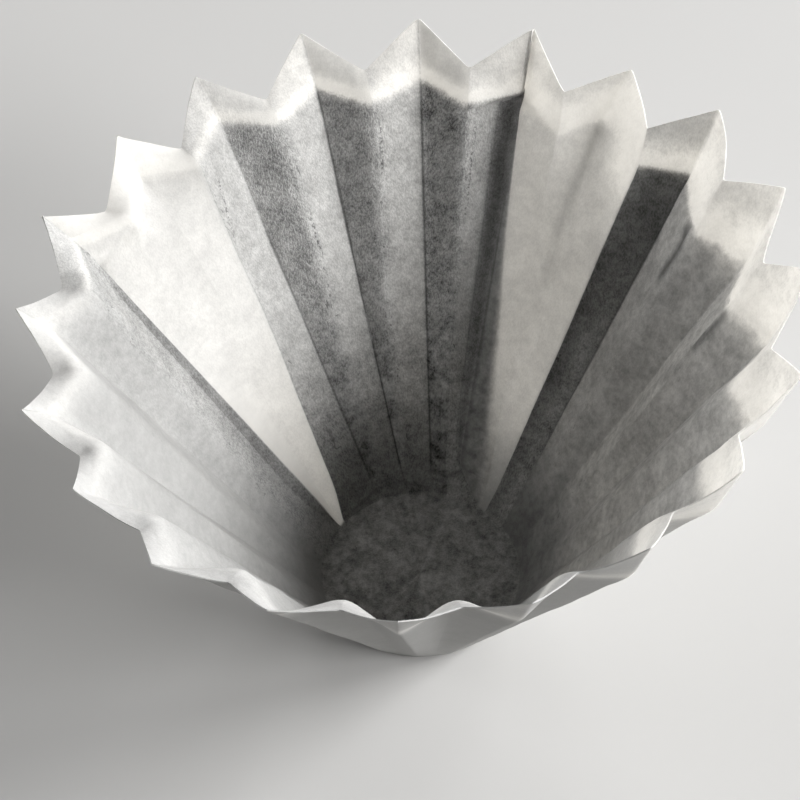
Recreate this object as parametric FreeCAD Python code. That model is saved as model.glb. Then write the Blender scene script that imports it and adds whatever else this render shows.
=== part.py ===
import FreeCAD, Part
import math
import os
from FreeCAD import Vector

# Pleated paper coffee filter with a small flat base, in millimetres
# The base lies on z = 0 with its centre at the origin, and the mouth opens upwards
# Every size below is taken on the inner face of the paper, the one that holds the coffee

# Sheet
paper_thickness = 0.2
base_radius = 16.0

# Pleats, an outer and an inner fold each, with the first outer fold nearest the front
pleat_count = 20
first_fold_angle = -92.8

# Brim line, where the straight walls bend outwards into the mouth
brim_height = 59.2
brim_outer_radius = 52.6
brim_inner_radius = 47.0
brim_softness = 2.4

# Cut edge of the mouth, a star whose tips stand above its valleys, measured on from the brim line
tip_flare = 4.1
tip_rise = 8.5
valley_flare = 4.2
valley_rise = 3.0
mouth_edge_bow = 0.5

# The mouth sits a little off the base's centre, and its edge climbs towards +X
mouth_shift_x = -1.0
mouth_shift_y = 0.6
mouth_rise_angle = 4.1

# Two wide facets, where a stretch of pleats has been pressed flat below the brim
# Each lies beside one sharp inner fold and narrows to a gathered tuck at the base
facet_ridge_angles = (42.2, 132.2)
facet_tuck_shifts = (0.0, 3.6)
facet_span_folds = 3
facet_tuck_width = 1.8
facet_top_fraction = 0.88

# Steps that the paper is divided into, up the wall and across a panel
wall_steps = 6
panel_steps = 2

fold_count = 2 * pleat_count
fold_step = 360.0 / fold_count


def is_outer(fold):
    return fold % 2 == 0


def fold_angle(fold):
    return first_fold_angle + fold * fold_step


def ring_point(angle, radius, height, shift=1.0):
    turn = math.radians(angle)
    return Vector(
        radius * math.cos(turn) + shift * mouth_shift_x,
        radius * math.sin(turn) + shift * mouth_shift_y,
        height,
    )


def blend(start, end, share):
    return start + (end - start) * share


def facet_members():
    # Each fold of a facet, counted anticlockwise from its sharp ridge, with its angle at the base
    members = {}
    for ridge_angle, tuck_shift in zip(facet_ridge_angles, facet_tuck_shifts):
        pleats_round = (ridge_angle - first_fold_angle) / (2 * fold_step) - 0.5
        ridge = (2 * round(pleats_round) + 1) % fold_count
        tuck_angle = math.degrees(facet_tuck_width / base_radius)
        for step in range(facet_span_folds + 1):
            base_angle = fold_angle(ridge) + tuck_shift + tuck_angle * step / facet_span_folds
            members[(ridge + step) % fold_count] = (ridge, step, base_angle)
    return members


def fold_line(fold, base_angle):
    # Points of one fold: foot, top of the facet zone, three round the soft brim, cut edge
    angle = fold_angle(fold)
    foot = ring_point(base_angle, base_radius, paper_thickness, shift=0.0)
    if is_outer(fold):
        brim_radius, flare, rise = brim_outer_radius, tip_flare, tip_rise
    else:
        brim_radius, flare, rise = brim_inner_radius, valley_flare, valley_rise
    brim = ring_point(angle, brim_radius, brim_height)
    edge = ring_point(angle, brim_radius + flare, brim_height + rise)
    edge.z += edge.x * math.tan(math.radians(mouth_rise_angle))
    brim_low = brim + (foot - brim).normalize() * brim_softness
    brim_high = brim + (edge - brim).normalize() * min(brim_softness, 0.5 * (edge - brim).Length)
    brim_middle = blend(brim, blend(brim_low, brim_high, 0.5), 0.5)
    return [foot, blend(foot, brim, facet_top_fraction), brim_low, brim_middle, brim_high, edge]


def fold_lines():
    # Every fold on the inner face, with the folds inside a facet pressed flat below its top
    members = facet_members()
    lines = []
    for fold in range(fold_count):
        base_angle = members[fold][2] if fold in members else fold_angle(fold)
        lines.append(fold_line(fold, base_angle))
    for fold, (ridge, step, _) in members.items():
        if 0 < step < facet_span_folds:
            far_edge = (ridge + facet_span_folds) % fold_count
            for row in (0, 1):
                lines[fold][row] = blend(lines[ridge][row], lines[far_edge][row], step / facet_span_folds)
    return [divide_wall(line) for line in lines]


def divide_wall(line):
    foot, top = line[0], line[1]
    return [blend(foot, top, step / wall_steps) for step in range(wall_steps)] + line[1:]


def round_foot(start, end, share):
    # Point on the base circle between two feet of folds
    point = blend(start, end, share)
    reach = base_radius / math.hypot(point.x, point.y)
    return Vector(point.x * reach, point.y * reach, point.z)


def inner_net():
    # Columns of points round the inner face: each fold, then the steps across the panel after it
    lines = fold_lines()
    net = []
    for fold, line in enumerate(lines):
        next_line = lines[(fold + 1) % fold_count]
        outward = panel_normal(line, next_line, len(line) - 1)
        net.append(line)
        for step in range(1, panel_steps):
            share = step / panel_steps
            column = [blend(low, high, share) for low, high in zip(line, next_line)]
            column[0] = round_foot(line[0], next_line[0], share)
            column[-1] += outward * mouth_edge_bow * 4 * share * (1 - share)
            net.append(column)
    return net


def along(column, row):
    low = column[max(row - 1, 0)]
    high = column[min(row + 1, len(column) - 1)]
    return (high - low).normalize()


def panel_normal(column, next_column, row):
    # Outward normal of the paper between two neighbouring columns, at one row
    across = (next_column[row] - column[row]).normalize()
    up = (along(column, row) + along(next_column, row)).normalize()
    return across.cross(up).normalize()


def mitre(normal_a, normal_b):
    # Step from the inner face to the outer one that keeps the paper's thickness on both sides
    return (normal_a + normal_b) * (paper_thickness / (1.0 + normal_a.dot(normal_b)))


def outer_net(net):
    shifted = []
    for index, column in enumerate(net):
        before, after = net[index - 1], net[(index + 1) % len(net)]
        rows = []
        for row, point in enumerate(column):
            left = panel_normal(before, column, row)
            right = panel_normal(column, after, row)
            if row == 0:
                rows.append(point + mitre(Vector(0, 0, -1), (left + right).normalize()))
            else:
                rows.append(point + mitre(left, right))
        shifted.append(rows)
    return shifted


def flat_face(corners):
    return Part.Face(Part.makePolygon(corners + corners[:1]))


def quad_faces(a, b, c, d):
    # Two flat triangles, split along the shorter diagonal
    if (c - a).Length < (d - b).Length:
        return [flat_face([a, b, c]), flat_face([a, c, d])]
    return [flat_face([a, b, d]), flat_face([b, c, d])]


def wall_faces(net):
    faces = []
    for index, column in enumerate(net):
        after = net[(index + 1) % len(net)]
        for row in range(len(column) - 1):
            faces += quad_faces(column[row], after[row], after[row + 1], column[row + 1])
    return faces


def cut_edge_faces(inside, outside):
    faces = []
    for index in range(len(inside)):
        after = (index + 1) % len(inside)
        faces += quad_faces(inside[index][-1], inside[after][-1], outside[after][-1], outside[index][-1])
    return faces


def filter_solid():
    inside = inner_net()
    outside = outer_net(inside)
    faces = wall_faces(inside) + wall_faces(outside) + cut_edge_faces(inside, outside)
    faces.append(flat_face([column[0] for column in inside]))
    faces.append(flat_face([column[0] for column in outside]))
    shell = Part.Shell(faces)
    shell.sewShape()
    solid = Part.Solid(Part.Shell(shell.Faces))
    if solid.Volume < 0:
        solid.reverse()
    return solid


def main():
    os.makedirs("parts", exist_ok=True)
    paper = filter_solid()
    paper.exportStep("parts/filter_paper.step")
    box = paper.BoundBox
    print("filter_paper", "valid", paper.isValid(), "closed", paper.isClosed(), "faces", len(paper.Faces))
    print("volume", round(paper.Volume, 1), "area", round(paper.Area, 1))
    print("box", [round(v, 2) for v in (box.XMin, box.YMin, box.ZMin, box.XMax, box.YMax, box.ZMax)])


main()
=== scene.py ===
import math

import bmesh
import bpy
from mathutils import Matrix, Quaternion, Vector, noise


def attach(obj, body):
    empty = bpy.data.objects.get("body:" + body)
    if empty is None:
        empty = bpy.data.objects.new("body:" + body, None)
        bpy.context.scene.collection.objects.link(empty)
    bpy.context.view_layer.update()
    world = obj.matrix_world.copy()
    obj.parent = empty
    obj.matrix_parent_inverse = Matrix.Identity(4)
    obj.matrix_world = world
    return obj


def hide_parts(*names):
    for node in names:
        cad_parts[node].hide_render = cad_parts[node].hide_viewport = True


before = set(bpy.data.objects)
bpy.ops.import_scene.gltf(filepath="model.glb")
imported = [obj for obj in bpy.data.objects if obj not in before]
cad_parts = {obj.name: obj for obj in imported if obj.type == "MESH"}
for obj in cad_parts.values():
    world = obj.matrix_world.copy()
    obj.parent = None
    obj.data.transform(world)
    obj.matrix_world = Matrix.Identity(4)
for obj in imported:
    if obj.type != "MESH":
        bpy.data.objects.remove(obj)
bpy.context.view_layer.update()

mm = 0.001
scene = bpy.context.scene


# camera, placed first so that every later look has the photo's angle

cameraSet = {
    "aimAt": (-2.71, -12.12, 59.19),  # mm, in the plane of the brim
    "distance": 395.7,  # mm
    "elevation": 50.81,  # degrees above the floor
    "roll": -1.216,  # degrees, lifts the right side of the picture
    "lens": 125.7,  # mm on a 36 mm sensor
}


def makeCamera(settings):
    data = bpy.data.cameras.new("photoCamera")
    data.lens = settings["lens"]
    data.sensor_width = 36.0
    data.clip_start, data.clip_end = 0.01, 20.0
    camera = bpy.data.objects.new("photoCamera", data)
    scene.collection.objects.link(camera)
    lift = math.radians(settings["elevation"])
    back = Vector((0, -math.cos(lift), math.sin(lift)))
    camera.location = (Vector(settings["aimAt"]) + back * settings["distance"]) * mm
    camera.rotation_mode = "QUATERNION"
    roll = Quaternion((0, 0, 1), math.radians(settings["roll"]))
    camera.rotation_quaternion = (-back).to_track_quat("-Z", "Y") @ roll
    scene.camera = camera


makeCamera(cameraSet)
print("camera placed")


# the sheet: sizes in mm, on the face that holds the coffee

sheet = {
    "thickness": 0.2,
    "folds": 40,  # even numbers are outer folds, odd ones inner folds
    "firstFold": -92.8,  # degrees, the outer fold nearest the camera
    "mouthTurn": 0.4,  # degrees that the cut edge is turned on from the walls
    "baseRadius": 16.0,
    "brimHeight": 59.2,
    "brimOuter": 52.6,
    "brimInner": 47.0,
    "brimSoft": 2.3,  # length of paper on each side that the soft bend takes up
    "tipFlare": 4.1,
    "tipRise": 8.5,
    "valleyFlare": 4.2,
    "valleyRise": 3.0,
    "mouthShift": (-1.0, 0.6),
    "mouthRise": 0.0717,  # climb of the cut edge towards the right
    "outerRound": (0.25, 0.35),  # radius of the folds, at the base and at the brim
    "innerRound": (0.7, 2.8),
    "ridgeRound": (0.25, 0.4),
    "troughRound": {18: (0.6, 1.6), 20: (0.6, 1.5)},  # outer folds that are rounder than the rest
    "footRound": 1.3,  # radius where the wall turns up from the floor
    "footStand": (-0.47, 0.85),  # outwards and up, the way that rounding moves the corner
    "wallRun": 66.5,  # paper from the foot up to the soft bend
    "mouthRun": 5.5,  # and from there to the cut edge
    "buckleRun": 66.0,  # the wall's paper as the buckles count it
    "dropRun": 62.0,  # and as the marks below the brim count it
    "panelFoot": 2.5,  # width of a panel at the foot
    "panelBrim": 9.6,  # and at the brim
    "brimMean": 50.0,  # radius between the outer and the inner folds
    "panelBow": (0.0, 0.15, 0.3),  # bulge of a panel's middle at base, brim and cut edge
    "unevenness": (0.10, 0.22, 0.30),  # the same for soft dents
    "columnsPerPanel": 12,
    "crowding": 0.85,  # how far the columns crowd towards the folds, 0 for even columns
    "wallRows": 44,
    "brimRows": 12,
    "mouthRows": 8,
    "floorRings": 6,
}

# wide facets, each from a sharp inner fold to a border, beside which the next outer fold slipped away
facets = [
    {
        "ridge": 15,
        "span": 3,
        "tuckTurn": 5.6,  # degrees that its narrow end sits round from the regular place
        "flatTo": 0.70,  # share of the wall up to which it is pressed flat
        "pleatedFrom": 1.0,
        "slip": 3.8,  # mm from its border to the step beside it, where they are furthest apart
        "belly": 1.0,  # mm that the border stands back towards the ridge, low on the wall
        "trough": (1.5, 3.9),  # mm on from the step to the outer fold, at the base and at the brim
        "lift": (0.7, 2.2),  # mm that border and step stand in from the outer folds
    },
    {
        "ridge": 25,
        "span": 3,
        "tuckTurn": 7.6,
        "flatTo": 0.92,
        "pleatedFrom": 1.02,
        "slip": 0.8,
        "belly": 0.0,
        "trough": (1.6, 0.9),
        "lift": (0.9, 0.4),
    },
]
tuckWidth = 3.4  # degrees
slipPeak, slipEnd = 0.11, 0.97  # shares of the wall where the slip is widest and where it ends
borderColumn, stepColumn = 5, 7  # columns of the panel where the border and the step lie

# small moves of single folds: degrees round at the base
footMoves = {19: -5.0, 20: -5.0, 21: -6.0, 22: -9.0, 23: -9.0, 24: -10.0}
# at the brim: degrees round, mm outwards, mm up
brimMoves = {
    14: (1.8, 0.0, 0.0),
    15: (-0.1, 0.4, 0.3),
    16: (2.6, -1.8, 0.6),
    17: (-0.3, -0.4, 0.0),
}
# at the cut edge, the same three
edgeMoves = {
    2: (-0.4, 0.0, 0.0),
    4: (-0.65, -0.4, 0.0),
    6: (-0.5, -0.4, -0.2),
    10: (0.9, -0.5, 0.7),
    13: (0.7, 0.35, 0.7),
    14: (0.7, -0.4, 0.25),
    15: (1.1, -1.1, -0.25),
    16: (-0.2, -1.5, -1.4),
    17: (0.55, -0.85, -0.6),
    18: (-0.3, -0.4, -0.5),
    21: (0.15, 0.25, 0.25),
    22: (0.5, 0.4, 0.25),
    24: (0.5, 0.3, 0.0),
    25: (-0.3, -0.35, -0.1),
    26: (-0.7, -0.5, 0.1),
    27: (0.4, 0.55, 0.1),
    28: (0.15, 0.85, 0.3),
    29: (0.2, 0.8, 0.1),
    31: (0.0, 0.4, 0.0),
    32: (0.7, 0.2, -0.6),
    34: (0.3, -0.7, 0.0),
}
# sideways bulge of a fold on its way down the wall, mm
foldBulges = {25: -0.8, 15: -0.3, 19: 0.5, 21: 1.7, 22: 0.2, 23: 0.8}
# bulge of a panel's middle at the cut edge, mm, where it isn't the usual one
edgeBows = {11: 0.0, 12: 0.3, 13: 1.0, 14: 0.2, 15: 0.3, 17: 0.6, 26: -0.3, 28: -0.45, 30: -0.3}
# buckles pressed into the wall: folds and heights of the two ends, then depth and half width in mm
buckles = [
    {"ends": ((13.12, 1.35), (13.30, 0.84)), "depth": 0.55, "width": 0.5},
    {"ends": ((11.10, 1.20), (11.30, 0.74)), "depth": 0.50, "width": 0.6},
    {"ends": ((24.75, 1.05), (24.65, 0.45)), "depth": 0.15, "width": 0.45},
    {"ends": ((18.15, 2.25), (18.10, 2.85)), "depth": 0.12, "width": 0.3},
    {"ends": ((25.1, 0.955), (26.6, 0.96)), "depth": 0.10, "width": 0.35},
    {"ends": ((26.6, 0.96), (27.9, 0.935)), "depth": 0.12, "width": 0.35},
    {"ends": ((18.3, 0.075), (19.9, 0.060)), "depth": 0.40, "width": 0.5},
    {"ends": ((19.9, 0.060), (20.4, 0.085)), "depth": 0.30, "width": 0.4},
    {"ends": ((21.0, 0.030), (25.0, 0.020)), "depth": 0.18, "width": 0.5},
]


def mixed(start, end, share):
    return start + (end - start) * share


def eased(low, high, value):
    share = min(max((value - low) / (high - low), 0.0), 1.0)
    return share * share * (3.0 - 2.0 * share)


def swell(value, start, full, fall, gone):
    # up to 1 between the first two values and back to 0 between the last two
    return eased(start, full, value) * (1 - eased(fall, gone, value))


def bell(off, width):
    return math.exp(-(off / width) ** 2)


def threeWay(values, height):
    # from the base's value to the brim's and the cut edge's
    # height runs from 0 to 1 up the wall, to 2 round the soft bend and to 3 over the mouth
    if height <= 1.0:
        return mixed(values[0], values[1], height)
    return mixed(values[1], values[2], (height - 1.0) / 2.0)


def ringPlace(degrees, radius, height, shift):
    turn = math.radians(degrees)
    return Vector((
        radius * math.cos(turn) + shift * sheet["mouthShift"][0],
        radius * math.sin(turn) + shift * sheet["mouthShift"][1],
        height,
    ))


def regularTurn(fold):
    return sheet["firstFold"] + fold * 360.0 / sheet["folds"]


def footTurn(fold):
    for facet in facets:
        step = (fold - facet["ridge"]) % sheet["folds"]
        if step <= facet["span"]:
            return regularTurn(facet["ridge"]) + facet["tuckTurn"] + tuckWidth * step / facet["span"]
    return regularTurn(fold) + footMoves.get(fold, 0.0)


def foldKnots(fold):
    outer = fold % 2 == 0
    turn, out, up = brimMoves.get(fold, (0, 0, 0))
    brimRadius = sheet["brimOuter"] if outer else sheet["brimInner"]
    foot = ringPlace(footTurn(fold), sheet["baseRadius"], sheet["thickness"], 0)
    brim = ringPlace(regularTurn(fold) + turn, brimRadius + out, sheet["brimHeight"] + up, 1)
    turn, out, up = edgeMoves.get(fold, (0, 0, 0))
    flare = sheet["tipFlare"] if outer else sheet["valleyFlare"]
    rise = sheet["tipRise"] if outer else sheet["valleyRise"]
    edgeTurn = regularTurn(fold) + sheet["mouthTurn"] + turn
    edge = ringPlace(edgeTurn, brimRadius + flare + out, sheet["brimHeight"] + rise + up, 1)
    edge.z += edge.x * sheet["mouthRise"]
    return foot, brim, edge


def foldPlace(knots, height):
    # height: 0 to 1 up the wall, 1 to 2 round the soft bend, 2 to 3 over the mouth
    foot, brim, edge = knots
    low = brim + (foot - brim).normalized() * sheet["brimSoft"]
    high = brim + (edge - brim).normalized() * min(sheet["brimSoft"], 0.6 * (edge - brim).length)
    if height <= 1.0:
        return mixed(foot, low, height)
    if height <= 2.0:
        share = height - 1.0
        return mixed(mixed(low, brim, share), mixed(brim, high, share), share)
    return mixed(high, edge, height - 2.0)


def rowHeights():
    foot = [0.0, 0.006, 0.016]
    wall = [mixed(0.035, 1.0, step / sheet["wallRows"]) for step in range(sheet["wallRows"])]
    brim = [1.0 + step / sheet["brimRows"] for step in range(sheet["brimRows"])]
    mouth = [2.0 + step / sheet["mouthRows"] for step in range(sheet["mouthRows"])]
    return foot + wall + brim + mouth + [2.97, 3.0]


def turned(place, distance):
    # moved round the cup, on its own radius
    turn = distance / place.xy.length
    return Vector((
        place.x * math.cos(turn) - place.y * math.sin(turn),
        place.x * math.sin(turn) + place.y * math.cos(turn),
        place.z,
    ))


def slipShape(height):
    if height <= slipPeak:
        return eased(-0.3 * slipPeak, slipPeak, height)
    return max(0.0, 1.0 - (height - slipPeak) / (slipEnd - slipPeak))


def foldTable(heights):
    # place of every fold at every row, with the facets pressed flat, and the borders of the facets
    count = sheet["folds"]
    knots = [foldKnots(fold) for fold in range(count)]
    table = [[foldPlace(knots[fold], height) for height in heights] for fold in range(count)]
    borders = {}
    for fold, bulge in foldBulges.items():
        for row, height in enumerate(heights):
            table[fold][row] = turned(table[fold][row], bulge * swell(height, 0.0, 0.1, 0.5, 0.95))
    for facet in facets:
        last = (facet["ridge"] + facet["span"] - 1) % count
        borders[last] = [
            pressFacet(table, facet, row, height) for row, height in enumerate(heights)]
    return table, borders


def pressFacet(table, facet, row, height):
    # lays the folds of a facet flat at one row, and gives the places of its border and its step
    ridge, span, count = facet["ridge"], facet["span"], sheet["folds"]
    far = (ridge + span) % count
    hold = 1.0 - eased(facet["flatTo"], facet["pleatedFrom"], height)
    for step in range(1, span):
        fold = (ridge + step) % count
        flat = mixed(table[ridge][row], table[far][row], step / span)
        table[fold][row] = mixed(table[fold][row], flat, hold)
    upTo = min(height, 1.0)
    inwards = Vector((-table[far][row].x, -table[far][row].y, 0)).normalized()
    lift = inwards * mixed(*facet["lift"], upTo) * swell(height, 0.0, 0.12, 0.9, 1.3)
    stand = table[far][row] + lift
    slip = facet["slip"] * slipShape(height)
    belly = facet["belly"] * swell(height, 0.02, 0.16, 0.3, 0.75)
    trough = mixed(*facet["trough"], upTo) * swell(height, -0.02, 0.2, 0.9, 1.5)
    table[far][row] = turned(table[far][row], slip + trough)
    return turned(stand, -belly), turned(stand, slip)


def foldRound(fold, height):
    if any(fold == facet["ridge"] for facet in facets):
        pair = sheet["ridgeRound"]
    elif fold % 2:
        pair = sheet["innerRound"]
    else:
        pair = sheet["troughRound"].get(fold, sheet["outerRound"])
    upWall = mixed(pair[0], pair[1], min(height, 1.0))
    return mixed(upWall, min(pair[1], 0.8), eased(1.3, 2.6, height))


def clustered(share):
    # columns crowd towards the folds at both ends of a panel
    return share - sheet["crowding"] * math.sin(2 * math.pi * share) / (2 * math.pi)


borderShare = clustered(borderColumn / sheet["columnsPerPanel"])
stepShare = clustered(stepColumn / sheet["columnsPerPanel"])


def panelPlace(table, borders, heights, fold, share, row):
    count = sheet["folds"]
    before, here = table[fold - 1][row], table[fold][row]
    after, beyond = table[(fold + 1) % count][row], table[(fold + 2) % count][row]
    height = heights[row]
    width = (after - here).length
    place = mixed(here, after, share)
    if fold in borders:
        place = steppedPlace(here, borders[fold][row], after, share)
    nearRound = min(foldRound(fold, height), 0.48 * width, 0.48 * (before - here).length)
    beyondWidth = (beyond - after).length
    farRound = min(foldRound((fold + 1) % count, height), 0.48 * width, 0.48 * beyondWidth)
    onwards = (after - here).normalized()
    if share * width < nearRound:
        depth = (nearRound - share * width) ** 2 / (4 * nearRound)
        place += (onwards + (before - here).normalized()) * depth
    if (1 - share) * width < farRound:
        depth = (farRound - (1 - share) * width) ** 2 / (4 * farRound)
        place += ((beyond - after).normalized() - onwards) * depth
    low, high = max(row - 1, 0), min(row + 1, len(heights) - 1)
    upwards = (table[fold][high] - table[fold][low]).normalized()
    outwards = onwards.cross(upwards).normalized()
    bow = threeWay(sheet["panelBow"], height)
    if height > 1.0 and fold in edgeBows:
        bow = mixed(sheet["panelBow"][1], edgeBows[fold], (height - 1.0) / 2.0)
    place += outwards * bow * 4 * share * (1 - share)
    place += outwards * buckleDepth(fold + share, height)
    dent = noise.noise(place * 0.085) + 0.5 * noise.noise(place * 0.21 + Vector((7, 3, 11)))
    rise = eased(0.0, 0.08, height)
    return place + outwards * dent * threeWay(sheet["unevenness"], height) * rise


def buckleDepth(around, height):
    # a soft groove along each buckle that fades at its ends
    depth = 0.0
    radius = mixed(sheet["baseRadius"], sheet["brimMean"], min(height, 1.0))
    wide = radius * 2 * math.pi / sheet["folds"]  # mm between two folds
    tall = sheet["buckleRun"] if height <= 1.0 else 2 * sheet["brimSoft"]
    for buckle in buckles:
        (startFold, startHeight), (endFold, endHeight) = buckle["ends"]
        run = Vector(((endFold - startFold) * wide, (endHeight - startHeight) * tall))
        here = Vector(((around - startFold) * wide, (height - startHeight) * tall))
        share = here.dot(run) / run.length_squared
        if -0.1 < share < 1.1:
            off = (here - run * share).length / buckle["width"]
            if off < 4:
                depth += buckle["depth"] * bell(off, 1.0) * swell(share, -0.1, 0.15, 0.8, 1.1)
    return depth


def steppedPlace(start, edges, end, share):
    # straight runs from the fold to the facet's border, on to the step and down to the next fold
    border, step = edges
    if share <= borderShare:
        return mixed(start, border, share / borderShare)
    if share <= stepShare:
        return mixed(border, step, (share - borderShare) / (stepShare - borderShare))
    return mixed(step, end, (share - stepShare) / (1 - stepShare))


def paperCup():
    # a round floor whose edge is drawn up into rings, before the pleats are laid into it
    columns = sheet["folds"] * sheet["columnsPerPanel"]
    heights = rowHeights()
    bm = bmesh.new()
    rowOf = bm.verts.layers.int.new("row")
    bmesh.ops.create_circle(bm, cap_ends=True, radius=sheet["baseRadius"], segments=columns)
    floor = bm.faces[:][0]
    rim = [edge for edge in bm.edges if edge.is_boundary]
    for row in range(1, len(heights)):
        drawn = bmesh.ops.extrude_edge_only(bm, edges=rim)["geom"]
        rim = [part for part in drawn if isinstance(part, bmesh.types.BMEdge) and part.is_boundary]
        for part in drawn:
            if isinstance(part, bmesh.types.BMVert):
                part[rowOf] = row
    ringWidth = sheet["baseRadius"] / (sheet["floorRings"] + 1)
    widths = [0.15, 0.35] + [ringWidth] * sheet["floorRings"]
    for width in widths[:-1]:
        bmesh.ops.inset_region(bm, faces=[floor], thickness=width, use_even_offset=True)
    bmesh.ops.poke(bm, faces=[floor])
    return bm, rowOf, heights, columns


# marks that each point of the paper carries for its material
markNames = (
    "crease", "ridge", "facet", "mouth", "band", "rough", "thin", "shade",
    "cloudy", "lineGap", "lineForce", "dashGap", "dashForce",
)


def layPleats(bm, rowOf, heights, columns):
    table, borders = foldTable(heights)
    perPanel = sheet["columnsPerPanel"]
    marks = {name: bm.verts.layers.float.new(name) for name in markNames}
    for vert in bm.verts:
        turn = math.atan2(vert.co.y, vert.co.x) / (2 * math.pi) * columns
        column = round(turn) % columns
        fold, share = column // perPanel, clustered((column % perPanel) / perPanel)
        reach = vert.co.xy.length / sheet["baseRadius"]
        row = vert[rowOf]
        place = panelPlace(table, borders, heights, fold, share, row)
        if row == 0:
            foot = Vector((place.x, place.y, 0)).normalized() * sheet["baseRadius"]
            place = Vector((foot.x * reach, foot.y * reach, place.z))
            place.z += floorDent(place) * eased(1.0, 0.7, reach)
            place += footTurnIn(place, (1 - reach) * sheet["baseRadius"])
            # painted light: a negative shade makes the floor's paper paler away from its edge
            values = {"rough": 1.0, "cloudy": 2.3, "shade": -0.2 * eased(1.0, 0.85, reach)}
        else:
            place += footTurnIn(place, paperRun(heights[row]))
            width = (table[(fold + 1) % sheet["folds"]][row] - table[fold][row]).length
            values = paperMarks(fold, share, heights[row], width)
        for name, value in values.items():
            vert[marks[name]] = value
        vert.co = place * mm


def footTurnIn(place, distance):
    # rounds the corner between floor and wall
    size = sheet["footRound"]
    if distance > size:
        return Vector((0, 0, 0))
    outwards = Vector((place.x, place.y, 0)).normalized()
    out, up = sheet["footStand"]
    return (outwards * out + Vector((0, 0, up))) * (size - distance) ** 2 / (4 * size)


def paperRun(height):
    # mm of paper from the foot of the wall
    if height <= 1.0:
        return sheet["wallRun"] * height
    bend = 2 * sheet["brimSoft"] * (min(height, 2.0) - 1)
    return sheet["wallRun"] + bend + sheet["mouthRun"] * max(height - 2, 0.0)


# painted shade and shadow along creases, and columns of dark flecks: fold and height of each point,
# half width in mm, strength
creasePaths = [
    ([(13.30, 1.06), (13.14, 0.95), (13.26, 0.83)], 0.85, 0.9),
    ([(10.92, 1.00), (11.00, 0.92), (11.10, 0.83)], 0.95, 0.7),
    ([(17 + stepShare, 0.80), (17 + stepShare, 0.09)], 0.15, 0.5),
    ([(19.90, 0.055), (19.04, 0.055), (17.95, 0.08)], 0.25, 0.5),
    ([(24.58, 0.25), (24.52, 0.20)], 0.16, 0.6),
    ([(19.35, 0.28), (19.45, 0.20)], 0.18, 0.4),
    ([(18.04, 2.90), (18.05, 2.25)], 0.16, 0.35),
    ([(24.9, 0.012), (23.8, 0.034), (22.2, 0.036), (20.0, 0.018)], 0.25, 0.35),
]
dashPaths = [
    ([(20.88, 0.985), (20.92, 0.86)], 0.3, 0.9),
    ([(22.88, 0.79), (22.88, 0.70)], 0.3, 0.9),
    ([(18.66, 0.98), (18.72, 0.88), (18.78, 0.72)], 0.45, 0.8),
    ([(24.60, 0.99), (24.86, 0.82)], 0.35, 0.7),
]


def lineNear(around, height, paths):
    # signed distance to the nearest path over its half width, and the strength of the line there
    wide = mixed(sheet["panelFoot"], sheet["panelBrim"], min(height, 1.0))
    farAway = 6.0  # mm, here the line's strength has long faded
    gap, force = 99.0, 0.0
    for points, width, strength in paths:
        for step in range(len(points) - 1):
            (startFold, startHeight), (endFold, endHeight) = points[step], points[step + 1]
            climb = paperRun(endHeight) - paperRun(startHeight)
            run = Vector(((endFold - startFold) * wide, climb))
            here = Vector(((around - startFold) * wide, paperRun(height) - paperRun(startHeight)))
            share = here.dot(run) / run.length_squared
            off = (here - run * min(max(share, 0.0), 1.0)).length
            if off < farAway and off / width < abs(gap):
                side = 1.0 if run.x * here.y - run.y * here.x > 0 else -1.0
                beyond = -share if step == 0 else share - 1 if step == len(points) - 2 else 0.0
                fade = (1 - eased(-0.3, 0.15, beyond)) * (1 - eased(2.2, 3.2, off))
                gap, force = side * off / width, strength * fade
    return gap, force


# how dark the painted shade along the line of an outer fold is on the wall, 1 for the sharpest, the
# rest have 0.12
creaseLines = {14: 0.6, 18: 0.2, 20: 0.95, 22: 1.0, 24: 0.8}
# panels whose fibres stand out, the rest have 0.3
roughPanels = {
    8: 0.35, 9: 0.35, 10: 0.4, 11: 0.4, 12: 0.4, 13: 0.45, 14: 1.3, 17: 1.1, 18: 0.9,
    19: 1.8, 20: 0.75, 21: 1.3, 22: 0.7, 23: 1.15, 24: 0.7, 27: 1.2, 28: 1.1,
    29: 0.3, 30: 0.15, 31: 0.15, 32: 0.15, 33: 0.15, 34: 0.2,
}
# panels with clouds in the paper, the rest have 0.4
cloudyPanels = {
    5: 0.9, 6: 1.0, 7: 1.1, 8: 1.1, 9: 1.1, 10: 1.2, 11: 1.2, 12: 1.2, 13: 1.1, 14: 1.6,
    17: 1.2, 18: 1.0, 19: 2.2, 20: 1.1, 21: 1.6, 22: 0.9, 23: 1.5, 24: 0.8,
    27: 1.2, 28: 1.0, 29: 0.6,
}
# panels of looser paper that let a little light through, 1 for the loosest
thinPanels = {
    4: 1.0, 5: 1.0, 6: 1.0, 7: 1.0, 8: 1.0, 9: 1.0, 10: 1.0, 11: 1.0, 12: 0.7, 13: 0.8,
    18: 0.4, 20: 0.8, 22: 0.75, 24: 0.7, 29: 0.2, 30: 0.25, 31: 0.2, 32: 0.25, 33: 0.2,
}
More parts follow.
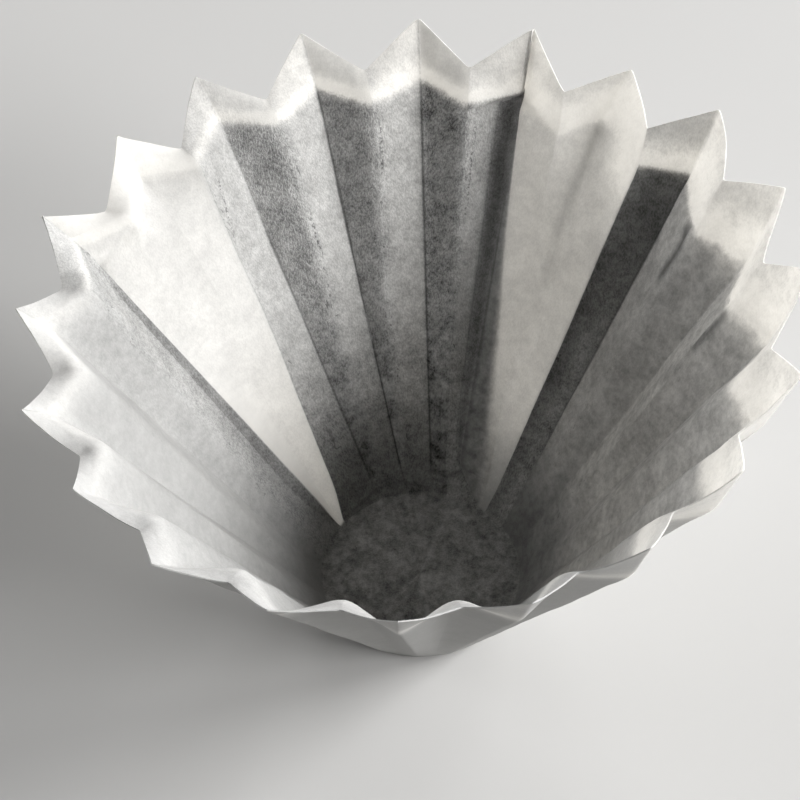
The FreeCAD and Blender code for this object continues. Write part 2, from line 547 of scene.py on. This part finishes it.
# how pale the painted light makes the mouth round the cup: two folds, and the factors before and
# after them
mouthSteps = [
    (3, 7, 0.4, 1.0),
    (12, 14, 0.75, 0.85),
    (28, 29.5, 1.0, 0.8),
    (31, 35, 1.0, 0.4),
]
markSizes = {
    "creaseLine": 0.19,  # mm, half width of the painted shade line on an outer fold
    "speckOffset": 0.6,  # mm from an inner fold to the middle of its specks
    "speckSpread": 0.9,  # mm
    "mouthTop": -0.5,  # mm below the brim line where the mouth's painted light starts to fade
    "mouthFade": 1.1,  # and where it has faded
    "mouthFadeBack": 2.0,  # the same on the back wall
    "mouthFadeSide": 6.0,  # and on the side walls
    "mouthFadeTip": 2.5,  # further down at their outer folds
    "mouthFadeRidge": 2.5,  # and beside the wide panel before the right facet
    "bandRise": 0.6,  # mm that the painted bright band along the brim stands above the brim line
    "bandRiseSide": 0.3,  # the same on the side walls
    "bandWidth": 1.3,  # mm, its half width
    "bandWidthSide": 2.2,
    "bandWidthAbove": 2.6,  # above its middle, on the right facet and the panel before it
    "bandWidthBelow": 1.4,  # below its middle on the right facet
    "bandClimb": 2.5,  # mm that the band climbs from fold to fold over the right facet
}


def paperMarks(fold, share, height, width):
    near = fold if share < 0.5 else (fold + 1) % sheet["folds"]
    fromOuter = share * width if fold % 2 == 0 else (1 - share) * width
    fromInner = width - fromOuter
    drop = brimDrop(height)
    pale = facetShare(fold, share)
    if fold == facets[1]["ridge"]:
        pale *= mixed(0.6, 1.0, eased(0.0, 0.05, share))
    mouth, band = mouthMarks(fold, share, near, fromOuter, drop, pale)
    specks = bell(fromInner - markSizes["speckOffset"], markSizes["speckSpread"])
    lowClouds = mixed(1.6, 1.0, eased(0.25, 0.6, height)) if 16 < fold < 26 else 1.0
    lineGap, lineForce = lineNear(fold + share, height, creasePaths)
    dashGap, dashForce = lineNear(fold + share, height, dashPaths)
    return {
        "crease": creaseAt(near, height) * bell(fromOuter, markSizes["creaseLine"]) * (1 - pale),
        "ridge": specks * (1 - pale) * (1 - eased(0.9, 1.1, height)),
        "facet": pale * facetLight(fold, height),
        "mouth": mouth,
        "band": band,
        "rough": roughShare(fold, share, height),
        "thin": panelValue(thinPanels, 0.0, fold, share) * eased(0.0, 0.35, height),
        "shade": paintedShadeAt(fold, share, height, drop),
        "cloudy": panelValue(cloudyPanels, 0.4, fold, share) * lowClouds,
        "lineGap": lineGap,
        "lineForce": lineForce,
        "dashGap": dashGap,
        "dashForce": dashForce,
    }


def creaseAt(near, height):
    # how dark the painted shade along the line of the nearest fold is, fainter over the mouth
    if near % 2:
        return 0.0
    strength = creaseLines.get(near, 0.12)
    if near == 24:
        strength *= 1 - eased(0.72, 0.85, height)
    foot = eased(0.0, 0.12, height) if near in (20, 22, 24) else eased(0.1, 0.4, height)
    return strength * foot * mixed(1.0, 0.25, eased(1.1, 1.6, height))


def facetLight(fold, height):
    # painted light and translucency: the right facet is painted less pale and lets less light through
    # low down, the left one more
    if fold < 20:
        return mixed(0.3, 1.0, eased(0.02, 0.34, height))
    return mixed(1.3, 1.0, eased(0.3, 0.7, height))


def mouthMarks(fold, share, near, fromOuter, drop, pale):
    # painted light: how pale the paper of the mouth is, and how bright the band along the brim
    around = fold + share
    paleness = mixed(1.0, 0.6, swell(around, 23, 25, 28, 29.5))
    for start, end, before, after in mouthSteps:
        paleness *= mixed(before, after, eased(start, end, around))
    side, back = fold < 14 or fold > 28, 18 < fold < 25
    fade = markSizes["mouthFadeBack"] if back else markSizes["mouthFade"]
    fromBand = drop + markSizes["bandRise"]
    band = bell(fromBand, markSizes["bandWidth"])
    if side:
        fade = markSizes["mouthFadeSide"] + markSizes["mouthFadeTip"] * bell(fromOuter, 2.0)
        fromSideBand = drop + markSizes["bandRiseSide"]
        band = bell(fromSideBand, markSizes["bandWidthSide"]) * (1.1 if fold < 14 else 0.45)
    if near > 12 and fold < 14:
        fade = markSizes["mouthFadeRidge"]
    if back:
        paleness *= 1.2 if fold % 2 else 0.85
        band *= 1.0 if fold % 2 else 0.6
    if fold == 14:
        wide = markSizes["bandWidth"] if fromBand > 0 else markSizes["bandWidthAbove"]
        band = 1.4 * bell(fromBand, wide)
    if fold in (15, 16, 17) and pale > 0:
        # here the painted bright band climbs from the brim to the tip beside the ridge
        paleness *= 0.2
        off = drop - markSizes["bandClimb"] * (around - 17.0)
        corner = bell(max(drop, 0.0), 6.0) * eased(15.8, 15.1, around)
        wide = markSizes["bandWidthBelow"] if off > 0 else markSizes["bandWidthAbove"]
        band = max(bell(off, wide), corner)
    return (1 - eased(markSizes["mouthTop"], fade, drop)) * paleness, band


def paintedShadeAt(fold, share, height, drop):
    # painted shade: the paper is darkened beside deep folds, in grooves and low on the wall, where
    # shade falls
    below = eased(-0.6, 0.4, drop)
    if fold == 17 and share > stepShare - 0.01:
        across = (share - stepShare) / (1 - stepShare)
        deep = mixed(0.7, 1.0, eased(0.4, 0.8, height)) * eased(0.0, 0.1, height)
        nearStep = mixed(mixed(0.1, 0.55, height), 1.0, eased(0.0, 0.4, across))
        return below * deep * nearStep * mixed(1.0, 0.55, eased(0.7, 1.0, across))
    if fold == 18:
        return 0.55 * below * eased(0.16, 0.0, share) * eased(0.0, 0.1, height)
    if 18 < fold < 25:
        return 0.55 * (1 - eased(0.05, 0.5, height))
    if fold == 14:
        across = mixed(eased(0.3, 0.95, share), mixed(1.0, 0.85, share), eased(0.45, 0.95, height))
        return 0.8 * below * across * mixed(0.7, 1.0, eased(0.1, 0.5, height))
    if 5 < fold < 14:
        upper = 0.25 * eased(0.3, 0.6, height) * below if fold == 10 else 0.0
        return 0.5 * (1 - eased(0.0, 0.5, height)) + upper
    if fold in (15, 16):
        # painted shade of a soft groove that runs down the right facet
        off = 7.5 * (fold + share - mixed(16.42, 15.97, eased(0.75, 1.05, height)))
        return 0.32 * bell(off, 1.1) * eased(0.55, 0.8, height) * below
    if fold == 27 and facetShare(fold, share) == 0.0:
        return 0.75 * mixed(0.45, 1.0, eased(0.08, 0.4, height)) * (1 - eased(0.8, 0.98, height))
    if fold == 28:
        low = mixed(0.3, 1.0, eased(0.08, 0.4, height))
        return 0.4 * low * (1 - share) ** 1.5 * (1 - eased(0.3, 0.9, height))
    if 28 < fold < 34:
        return 0.1 * (1 - eased(0.0, 0.3, height))
    return 0.0


def facetShare(fold, share):
    # 1 on the paper of a facet, 0 on pleated paper
    for facet in facets:
        step = (fold - facet["ridge"]) % sheet["folds"]
        if step < facet["span"] - 1:
            return 1.0
        if step == facet["span"] - 1:
            return 1.0 if share <= borderShare + 0.01 else 0.0
    return 0.0


def panelValue(values, rest, fold, share):
    # a panel's value, which changes softly over an inner fold
    # and sharply over an outer fold or a facet's ridge
    near = fold if share < 0.5 else fold + 1
    beside = (fold - 1 if share < 0.5 else fold + 1) % sheet["folds"]
    sharp = near % 2 == 0 or any(near == facet["ridge"] for facet in facets)
    blend = 0.5 * (1 - eased(0.0, 0.05 if sharp else 0.28, min(share, 1 - share)))
    return mixed(values.get(fold, rest), values.get(beside, rest), blend)


def roughShare(fold, share, height):
    rough = panelValue(roughPanels, 0.3, fold, share)
    if fold == 17:
        rough *= mixed(0.35, 1.0, eased(stepShare - 0.02, stepShare + 0.06, share))
    if 17 < fold < 25:
        rough = mixed(1.3, rough, eased(0.2, 0.55, height))
    return rough


def brimDrop(height):
    # mm of paper below the brim line, less than nothing above it
    if height <= 1.0:
        return sheet["brimSoft"] + (1 - height) * sheet["dropRun"]
    return sheet["brimSoft"] * (3.0 - 2 * height)


def floorDent(place):
    return 0.12 + 0.18 * noise.noise(place * 0.16 + Vector((2, 5, 1)))


def makePaper():
    bm, rowOf, heights, columns = paperCup()
    layPleats(bm, rowOf, heights, columns)
    if max(bm.faces, key=lambda face: -face.calc_center_median().xy.length).normal.z < 0:
        bmesh.ops.reverse_faces(bm, faces=bm.faces)
    for face in bm.faces:
        face.smooth = True
    mesh = bpy.data.meshes.new("filterPaper")
    bm.normal_update()
    bm.to_mesh(mesh)
    bm.free()
    paper = bpy.data.objects.new("filterPaper", mesh)
    scene.collection.objects.link(paper)
    thicken(paper)
    return paper


def thicken(paper):
    solid = paper.modifiers.new("paperThickness", "SOLIDIFY")
    solid.thickness = sheet["thickness"] * mm
    solid.offset = -1.0
    solid.use_rim = True
    depsgraph = bpy.context.evaluated_depsgraph_get()
    grown = bpy.data.meshes.new_from_object(paper.evaluated_get(depsgraph))
    paper.modifiers.clear()
    paper.data = grown
    paper.data.name = "filterPaper"
    paper.data.set_sharp_from_angle(angle=math.radians(55))
    calmOutside(paper.data)


def calmOutside(mesh):
    # the outer face, the second half of the points, shows the marks of the inner one only faintly
    share = 0.35
    half = len(mesh.vertices) // 2
    for name in ("rough", "cloudy", "shade", "crease", "ridge", "lineForce", "dashForce"):
        values = mesh.attributes[name].data
        for index in range(half, len(values)):
            values[index].value *= share


paper = makePaper()
print("paper folded,", len(paper.data.polygons), "faces")


# paper finish

paperFinish = {
    # one paper in two tones: the walls are painted darker as shade and the pale tone paints light
    "wallTone": (0.78, 0.775, 0.76, 1.0),
    "paintedLightTone": (0.92, 0.915, 0.90, 1.0),  # painted light on the facets, the mouth and the band along the brim
    "grainSwing": 0.42,  # how far single fibres lighten and darken the wall
    "blotchSwing": 0.20,  # the same for spots of about a millimetre
    "cloudSwing": 0.26,  # and for the wide clouds in the sheet
    "smoothSwing": 0.22,  # share of these that is left on the facets and the mouth
    "smoothClouds": 0.33,  # and share of the clouds
    "speckDark": 0.35,  # tone of the specks beside the inner folds, 1 for none
    "speckRough": 0.8,  # roughness of a panel from which its specks grow no stronger
    "creaseDark": 0.28,  # tone of the painted shade in a crease
    "shadeDark": 0.45,  # tone of the painted shade in a hollow
    "bandTone": 0.6,  # how far the painted bright band along the brim turns to the pale tone
    "throughShare": 0.45,  # share of the light that goes into the paper
    "throughDense": (0.03, 0.029, 0.028, 1.0),  # and what comes out of dense paper
    "throughPale": (0.95, 0.93, 0.89, 1.0),  # and of loose paper
    "throughThin": 0.44,  # how loose the paper is on the thin panels
    "throughFacet": 0.74,
    "throughMouth": 0.70,
    "throughBand": 0.45,
    "roughness": 0.92,
    "specular": 0.25,
    "bumpDistance": 0.00012,
    "bumpStrength": 0.45,
    "creaseDepth": -1.5,  # of a crease, times the height of a fibre
}


def node(tree, kind, at, **values):
    made = tree.nodes.new(kind)
    made.location = at
    for name, value in values.items():
        setattr(made, name, value)
    return made


def noiseNode(group, at, scale, detail, roughness):
    made = node(group, "ShaderNodeTexNoise", at)
    made.inputs["Scale"].default_value = scale
    made.inputs["Detail"].default_value = detail
    made.inputs["Roughness"].default_value = roughness
    return made


def rangeNode(group, at, low, high):
    made = node(group, "ShaderNodeMapRange", at)
    made.inputs["From Min"].default_value = low
    made.inputs["From Max"].default_value = high
    return made


def mathNode(tree, at, operation, first, second=None, third=None):
    made = node(tree, "ShaderNodeMath", at, operation=operation)
    for socket, value in zip(made.inputs, (first, second, third)):
        if value is None:
            continue
        if isinstance(value, (int, float)):
            socket.default_value = value
        else:
            tree.links.new(value, socket)
    return made.outputs[0]


def toneNode(tree, at, force, dark):
    # 1 without the mark, down to its dark tone where its force is 1
    return mathNode(tree, at, "MULTIPLY_ADD", force, dark - 1.0, 1.0)


def mixNode(tree, at, factor, first, second):
    made = node(tree, "ShaderNodeMix", at, data_type="RGBA")
    for name, value in (("Factor", factor), ("A", first), ("B", second)):
        socket = [one for one in made.inputs if one.name == name and one.enabled][0]
        if isinstance(value, (int, float, tuple)):
            socket.default_value = value
        else:
            tree.links.new(value, socket)
    return [one for one in made.outputs if one.enabled][0]


def fibreGroup():
    # clouds, blotches and fine fibres of pressed paper, drawn out along the walls and centred on 0
    group = bpy.data.node_groups.new("paperFibres", "ShaderNodeTree")
    group.interface.new_socket(name="Place", in_out="INPUT", socket_type="NodeSocketVector")
    for name in ("Cloud", "Blotch", "Grain", "Fleck", "Dash", "Height"):
        group.interface.new_socket(name=name, in_out="OUTPUT", socket_type="NodeSocketFloat")
    start = node(group, "NodeGroupInput", (-1100, 0))
    end = node(group, "NodeGroupOutput", (900, 0))
    drawn = node(group, "ShaderNodeMapping", (-900, 0))
    drawn.inputs["Scale"].default_value = (1.0, 1.0, 0.42)
    group.links.new(start.outputs[0], drawn.inputs["Vector"])
    layers = {}
    # scale, detail and roughness of each noise, and the two values of it that become 0 and 1
    looks = (
        ("Cloud", 260.0, 3.0, 0.6, 0.34, 0.66),
        ("Blotch", 900.0, 2.0, 0.5, 0.34, 0.66),
        ("Grain", 3900.0, 2.0, 0.7, 0.36, 0.64),
        ("Speck", 1900.0, 1.0, 0.5, 0.63, 0.68),
        ("Patch", 150.0, 1.0, 0.5, 0.50, 0.58),
        ("Dash", 2300.0, 1.0, 0.5, 0.52, 0.58),
    )
    for order, (name, scale, detail, roughness, low, high) in enumerate(looks):
        texture = noiseNode(group, (-600, 400 - 220 * order), scale, detail, roughness)
        limits = rangeNode(group, (-350, 400 - 220 * order), low, high)
        source = drawn if name in ("Grain", "Speck") else start
        group.links.new(source.outputs[0], texture.inputs["Vector"])
        group.links.new(texture.outputs["Fac"], limits.inputs["Value"])
        layers[name] = limits.outputs[0]
    for order, name in enumerate(("Cloud", "Blotch", "Grain")):
        centred = mathNode(group, (-100, 400 - 220 * order), "SUBTRACT", layers[name], 0.5)
        group.links.new(centred, end.inputs[name])
    flecks = mathNode(group, (-100, -300), "MULTIPLY", layers["Speck"], layers["Patch"])
    group.links.new(flecks, end.inputs["Fleck"])
    group.links.new(layers["Dash"], end.inputs["Dash"])
    relief = mathNode(group, (100, -500), "MULTIPLY_ADD", layers["Blotch"], 1.6, layers["Grain"])
    group.links.new(relief, end.inputs["Height"])
    return group


def markNode(tree, at, name):
    return node(tree, "ShaderNodeAttribute", at, attribute_name=name).outputs["Fac"]


def lineMask(tree, at, gap, force):
    # full on the line, nothing from twice its half width on
    soft = node(tree, "ShaderNodeMapRange", (at[0] + 200, at[1]), interpolation_type="SMOOTHSTEP")
    tree.links.new(mathNode(tree, at, "ABSOLUTE", gap), soft.inputs["Value"])
    soft.inputs["From Max"].default_value = 2.0
    soft.inputs["To Min"].default_value, soft.inputs["To Max"].default_value = 1.0, 0.0
    return mathNode(tree, (at[0] + 400, at[1]), "MULTIPLY", soft.outputs[0], force)


def paperMaterial(finish):
    material = bpy.data.materials.new("whiteFilterPaper")
    material.use_nodes = True
    tree = material.node_tree
    tree.nodes.clear()
    out = node(tree, "ShaderNodeOutputMaterial", (1500, 0))
    both = node(tree, "ShaderNodeMixShader", (1300, 0))
    both.inputs[0].default_value = finish["throughShare"]
    front = node(tree, "ShaderNodeBsdfPrincipled", (950, 150))
    front.inputs["Roughness"].default_value = finish["roughness"]
    front.inputs["Specular IOR Level"].default_value = finish["specular"]
    through = node(tree, "ShaderNodeBsdfTranslucent", (950, -450))

    place = node(tree, "ShaderNodeTexCoord", (-900, 0))
    fibres = node(tree, "ShaderNodeGroup", (-650, 0))
    fibres.node_tree = fibreGroup()
    tree.links.new(place.outputs["Object"], fibres.inputs["Place"])
    layer = fibres.outputs
    mark = {}
    for order, name in enumerate(markNames):
        mark[name] = markNode(tree, (-900, 400 + 180 * order), name)
    rough, cloudy = mark["rough"], mark["cloudy"]
    smooth = mathNode(tree, (-650, 600), "MAXIMUM", mark["facet"], mark["mouth"])

    # fibres: strong on the creased wall, faint where the paper is smooth
    calmer = mathNode(tree, (-400, 300), "SUBTRACT", finish["smoothSwing"], rough)
    swing = mathNode(tree, (-250, 300), "MULTIPLY_ADD", smooth, calmer, rough)
    clearer = mathNode(tree, (-400, 450), "SUBTRACT", finish["smoothClouds"], cloudy)
    drift = mathNode(tree, (-250, 450), "MULTIPLY_ADD", smooth, clearer, cloudy)
    grain = mathNode(tree, (-400, 0), "MULTIPLY", layer["Grain"], finish["grainSwing"])
    fine = mathNode(tree, (-250, 0), "MULTIPLY_ADD", grain, swing, 1.0)
    blotch = mathNode(tree, (-400, -100), "MULTIPLY", layer["Blotch"], finish["blotchSwing"])
    clouds = mathNode(
        tree, (-250, -100), "MULTIPLY_ADD", layer["Cloud"], finish["cloudSwing"], blotch)
    fibreTone = mathNode(tree, (50, 150), "MULTIPLY_ADD", clouds, drift, fine)
    specks = mathNode(tree, (-100, -200), "MULTIPLY", layer["Fleck"], mark["ridge"])
    upTo = mathNode(tree, (-100, -350), "MINIMUM", rough, finish["speckRough"])
    speckRough = mathNode(tree, (50, -200), "MULTIPLY", specks, upTo)
    speckTone = toneNode(tree, (200, -200), speckRough, finish["speckDark"])

    # painted shade in creases and hollows, and columns of flecks
    line = lineMask(tree, (-400, 800), mark["lineGap"], mark["lineForce"])
    dash = lineMask(tree, (-400, 1100), mark["dashGap"], mark["dashForce"])
    creaseShadeAndGroove = mathNode(tree, (0, 400), "MAXIMUM", mark["crease"], line)
    dashed = mathNode(tree, (0, 550), "MULTIPLY", layer["Dash"], dash)
    creaseTone = toneNode(tree, (200, 400), creaseShadeAndGroove, finish["creaseDark"])
    dashTone = toneNode(tree, (200, 550), dashed, finish["creaseDark"])
    shadeTone = toneNode(tree, (200, 700), mark["shade"], finish["shadeDark"])
    marked = mathNode(tree, (350, 150), "MULTIPLY", fibreTone, speckTone)
    creased = mathNode(tree, (350, 400), "MULTIPLY", creaseTone, dashTone)
    shaded = mathNode(tree, (500, 400), "MULTIPLY", creased, shadeTone)
    allMarks = mathNode(tree, (500, 200), "MULTIPLY", marked, shaded)
    # painted light: the facets, the mouth and the bright band along the brim turn to the pale tone
    pale = mathNode(tree, (50, 650), "MULTIPLY_ADD", mark["band"], finish["bandTone"], smooth)
    tone = mixNode(tree, (200, 850), pale, finish["wallTone"], finish["paintedLightTone"])
    painted = node(tree, "ShaderNodeVectorMath", (680, 350), operation="SCALE")
    tree.links.new(tone, painted.inputs[0])
    tree.links.new(allMarks, painted.inputs["Scale"])
    tree.links.new(painted.outputs[0], front.inputs["Base Color"])

    # light from behind comes through the smooth paper, most of all at the bend of the brim
    loose = mathNode(tree, (-400, -400), "MULTIPLY", mark["thin"], finish["throughThin"])
    layers = (("facet", "throughFacet"), ("mouth", "throughMouth"), ("band", "throughBand"))
    for order, (name, share) in enumerate(layers):
        at = (150 * order - 250, -400)
        loose = mathNode(tree, at, "MULTIPLY_ADD", mark[name], finish[share], loose)
    # the painted shade and creases darken the light that comes through as well
    marbled = mathNode(tree, (200, -400), "MULTIPLY", loose, allMarks)
    glow = node(tree, "ShaderNodeClamp", (350, -400))
    tree.links.new(marbled, glow.inputs["Value"])
    passed = mixNode(
        tree, (550, -450), glow.outputs[0], finish["throughDense"], finish["throughPale"])
    tree.links.new(passed, through.inputs["Color"])

    bump = node(tree, "ShaderNodeBump", (650, -150))
    bump.inputs["Distance"].default_value = finish["bumpDistance"]
    bump.inputs["Strength"].default_value = finish["bumpStrength"]
    creped = mathNode(tree, (400, -150), "MULTIPLY", layer["Height"], swing)
    grooved = mathNode(tree, (520, -150), "MULTIPLY_ADD", creaseShadeAndGroove, finish["creaseDepth"], creped)
    tree.links.new(grooved, bump.inputs["Height"])
    tree.links.new(bump.outputs["Normal"], front.inputs["Normal"])
    tree.links.new(front.outputs[0], both.inputs[1])
    tree.links.new(through.outputs[0], both.inputs[2])
    tree.links.new(both.outputs[0], out.inputs["Surface"])
    return material


paper.data.materials.append(paperMaterial(paperFinish))
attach(paper, "root")
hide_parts("filter_paper")
print("paper finished")


# floor and light

studio = {
    "floorColor": (0.58, 0.575, 0.565, 1.0),
    "floorRadius": 0.75,  # m
    "world": 0.02,  # light from all round
    "backdrop": (0.72, 0.715, 0.70, 1.0),
    "lampDistance": 1.4,  # m
    "lampAim": 0.04,  # m, height that the lamps point at
    # lamps: degrees round from the right, degrees up, size in m, power in W
    "lamps": {
        "keyRight": (2, 33, 0.54, 17.9),
        "keyFront": (330, 31, 0.54, 12.1),
        "lowRight": (35, 6, 0.54, 11.9),
        "lowBack": (65, 6, 0.54, 10.6),
        "lowRear": (95, 6, 0.54, 9.7),
        "lowLeft": (165, 6, 0.70, 12.6),
    },
}


def makeFloor(settings):
    bm = bmesh.new()
    bmesh.ops.create_circle(bm, cap_ends=True, segments=96, radius=settings["floorRadius"])
    mesh = bpy.data.meshes.new("paleFloor")
    bm.to_mesh(mesh)
    bm.free()
    floor = bpy.data.objects.new("paleFloor", mesh)
    scene.collection.objects.link(floor)
    material = bpy.data.materials.new("paleFloor")
    material.use_nodes = True
    shader = material.node_tree.nodes["Principled BSDF"]
    shader.inputs["Base Color"].default_value = settings["floorColor"]
    shader.inputs["Roughness"].default_value = 0.9
    shader.inputs["Specular IOR Level"].default_value = 0.1
    mesh.materials.append(material)


def makeLamps(settings):
    for name, (around, above, size, power) in settings["lamps"].items():
        data = bpy.data.lights.new(name, "AREA")
        data.shape = "DISK"
        data.size = size
        data.energy = power
        lamp = bpy.data.objects.new(name, data)
        scene.collection.objects.link(lamp)
        turn, lift = math.radians(around), math.radians(above)
        flat = math.cos(lift)
        away = Vector((math.cos(turn) * flat, math.sin(turn) * flat, math.sin(lift)))
        lamp.location = Vector((0, 0, settings["lampAim"])) + away * settings["lampDistance"]
        lamp.rotation_mode = "QUATERNION"
        lamp.rotation_quaternion = away.to_track_quat("Z", "Y")
        lamp.visible_camera = False


def makeWorld(settings):
    # the camera sees a pale backdrop, the paper gets only a little light from it
    world = bpy.data.worlds.new("studioAir")
    scene.world = world
    world.use_nodes = True
    tree = world.node_tree
    fill = tree.nodes["Background"]
    fill.inputs["Color"].default_value = (1, 1, 1, 1)
    fill.inputs["Strength"].default_value = settings["world"]
    backdrop = node(tree, "ShaderNodeBackground", (0, -200))
    backdrop.inputs["Color"].default_value = settings["backdrop"]
    both = node(tree, "ShaderNodeMixShader", (250, 0))
    seen = node(tree, "ShaderNodeLightPath", (0, 400))
    tree.links.new(seen.outputs["Is Camera Ray"], both.inputs[0])
    tree.links.new(fill.outputs[0], both.inputs[1])
    tree.links.new(backdrop.outputs[0], both.inputs[2])
    tree.links.new(both.outputs[0], tree.nodes["World Output"].inputs["Surface"])


makeFloor(studio)
makeLamps(studio)
makeWorld(studio)
scene.view_settings.view_transform = "Standard"
print("light set")
